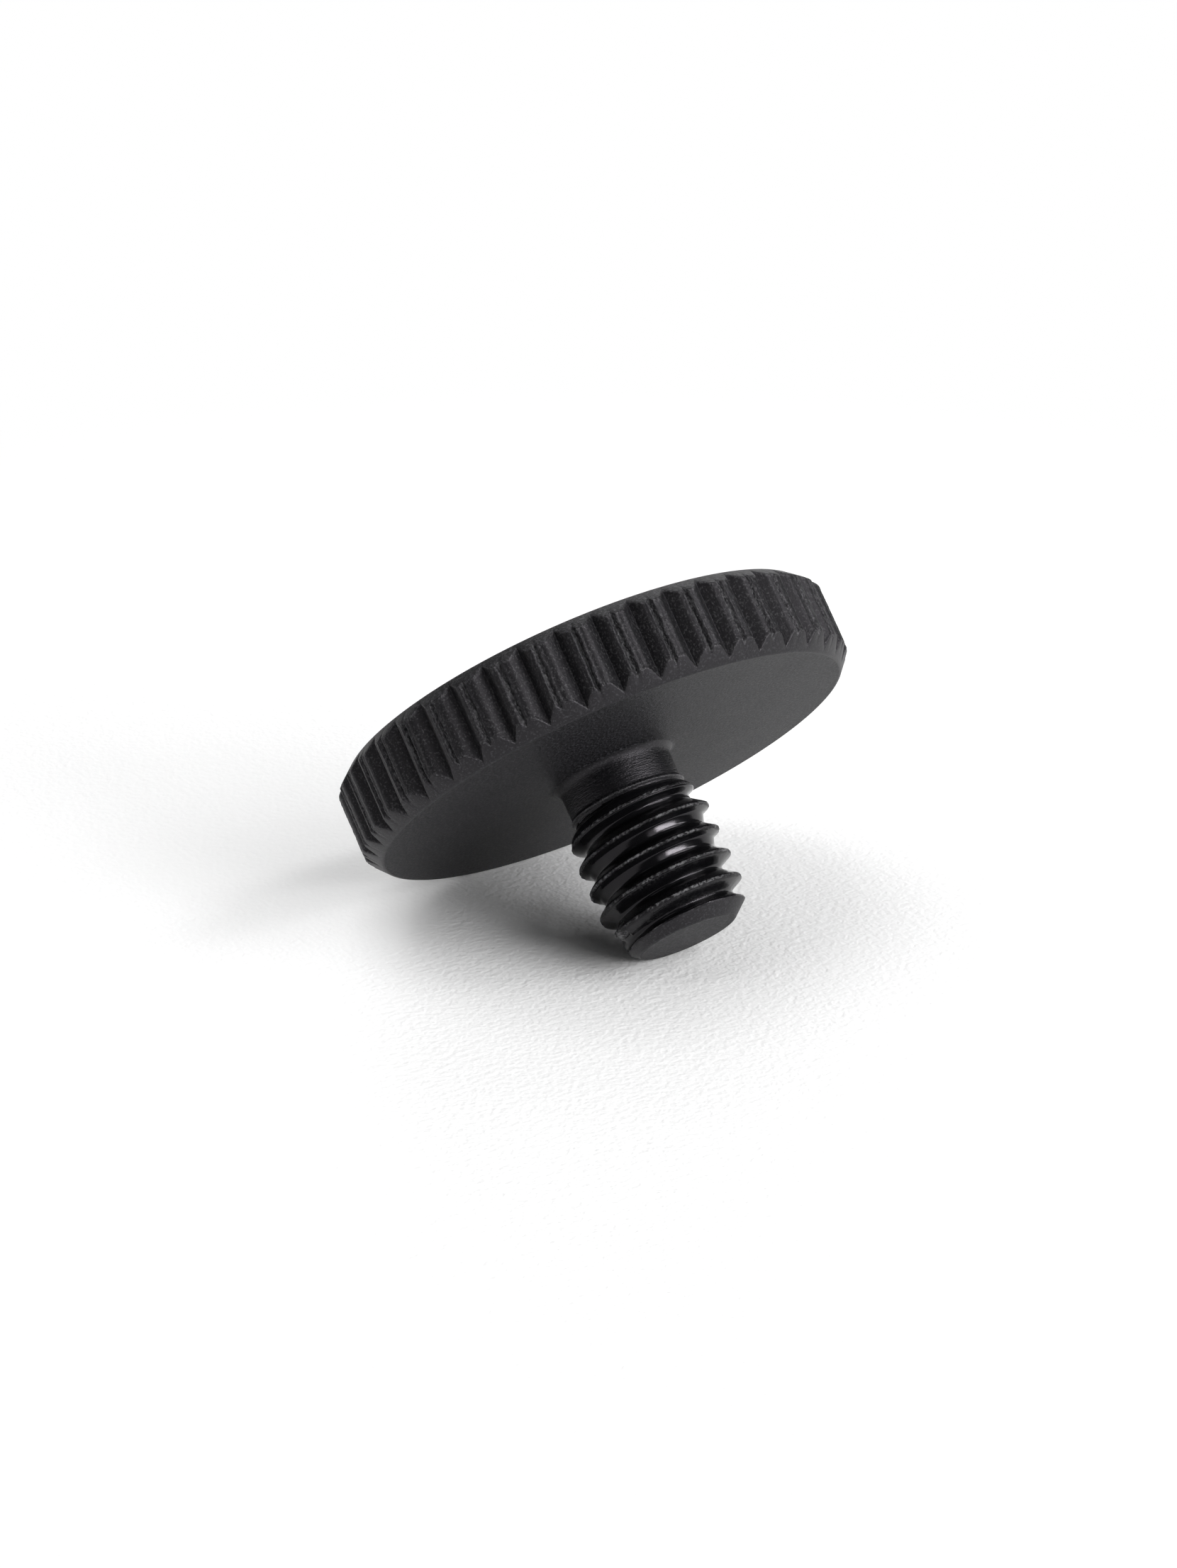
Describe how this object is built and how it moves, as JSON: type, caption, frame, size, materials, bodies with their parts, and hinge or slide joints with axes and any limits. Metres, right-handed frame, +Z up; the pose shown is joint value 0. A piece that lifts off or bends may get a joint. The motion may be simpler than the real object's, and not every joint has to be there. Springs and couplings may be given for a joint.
{
  "type": "thumb screw",
  "caption": "Thumb screw turned in one piece: a thin disc head with a straight-knurled rim, a short plain neck and a short metric thread with a chamfered tip, black anodised.",
  "frame": {"origin": "centre of the bounding box's bottom, on the ground the screw lies on", "axes": "+Z up. The screw lies on the edge of its head's seat and on the end of its thread, with its axis in the YZ plane: the tip points towards -Y and down at about 46 degrees, and +X is across the head"},
  "size_m": [0.014, 0.0112, 0.011],
  "materials": {
    "black_anodised": "bead-blasted and black anodised, matt with a fine sparkle, rougher on the knurl's crests"
  },
  "bodies": {
    "root": {"thumb_screw": "black_anodised"}
  },
  "joints": []
}
